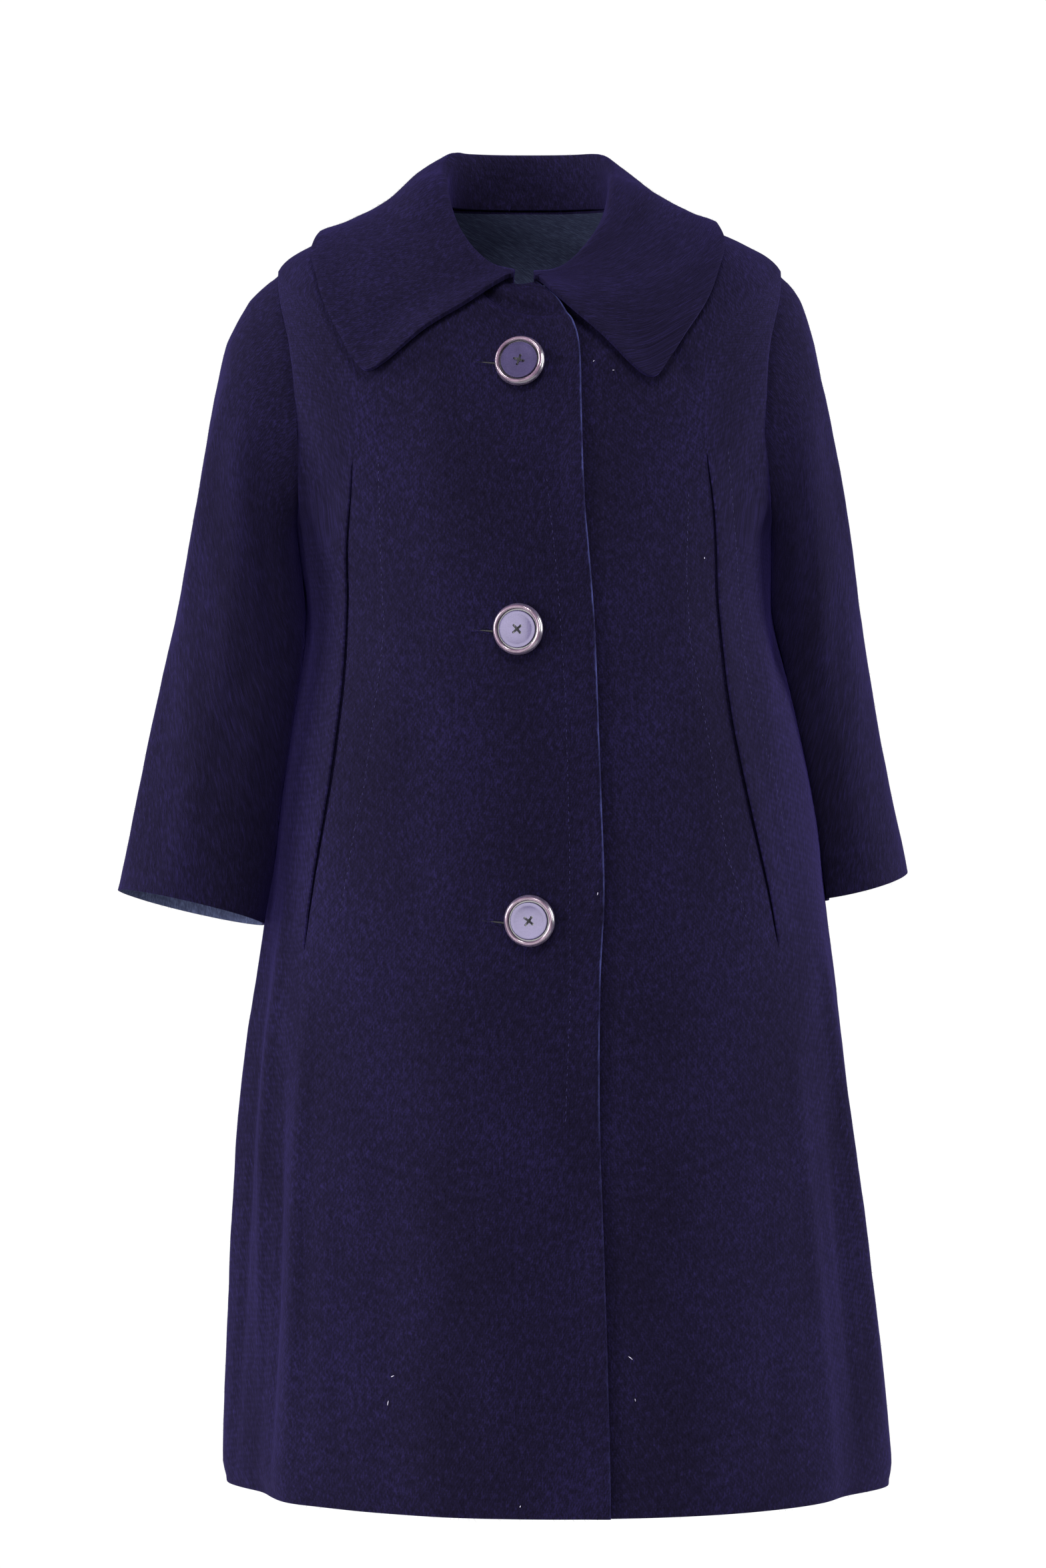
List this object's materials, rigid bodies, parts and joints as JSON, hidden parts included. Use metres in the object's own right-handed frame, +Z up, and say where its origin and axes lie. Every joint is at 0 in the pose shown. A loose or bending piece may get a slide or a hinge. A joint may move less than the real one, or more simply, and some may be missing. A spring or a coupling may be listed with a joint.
{
  "type": "swing coat",
  "caption": "Flared knee-length coat in its worn hollow form, with a wide pointed flat collar, set-in three-quarter sleeves, long slit pockets and large round buttons.",
  "frame": {"origin": "between the shoulders at the height where they carry the coat, at the mount wearer_shoulders", "axes": "+Z up the wearer's body, the coat's front faces -Y, the wearer's left is +X"},
  "size_m": [0.6282, 0.4128, 1.0532],
  "materials": {
    "navy_cloth": "blue-violet navy wool and mohair twill with a soft brushed nap",
    "blue_reverse": "slate-blue reverse face of the same double cloth",
    "button_plum": "dark plum plastic, turned and polished",
    "button_rim": "pale pearly pink plastic rim",
    "button_lilac": "satin lilac plastic centre",
    "sewing_thread": "waxed blue buttonhole twist"
  },
  "bodies": {
    "root": {"front_right": "navy_cloth", "front_left": "navy_cloth", "back": "navy_cloth", "collar": "navy_cloth", "sleeve_right": "navy_cloth", "sleeve_left": "navy_cloth", "pocket_facing_right": "blue_reverse", "pocket_facing_left": "blue_reverse", "button_base_top": "button_plum", "button_base_middle": "button_plum", "button_base_low": "button_plum", "button_ring_top": "button_rim", "button_ring_middle": "button_rim", "button_ring_low": "button_rim", "button_disc_top": "button_lilac", "button_disc_middle": "button_lilac", "button_disc_low": "button_lilac"}
  },
  "joints": []
}
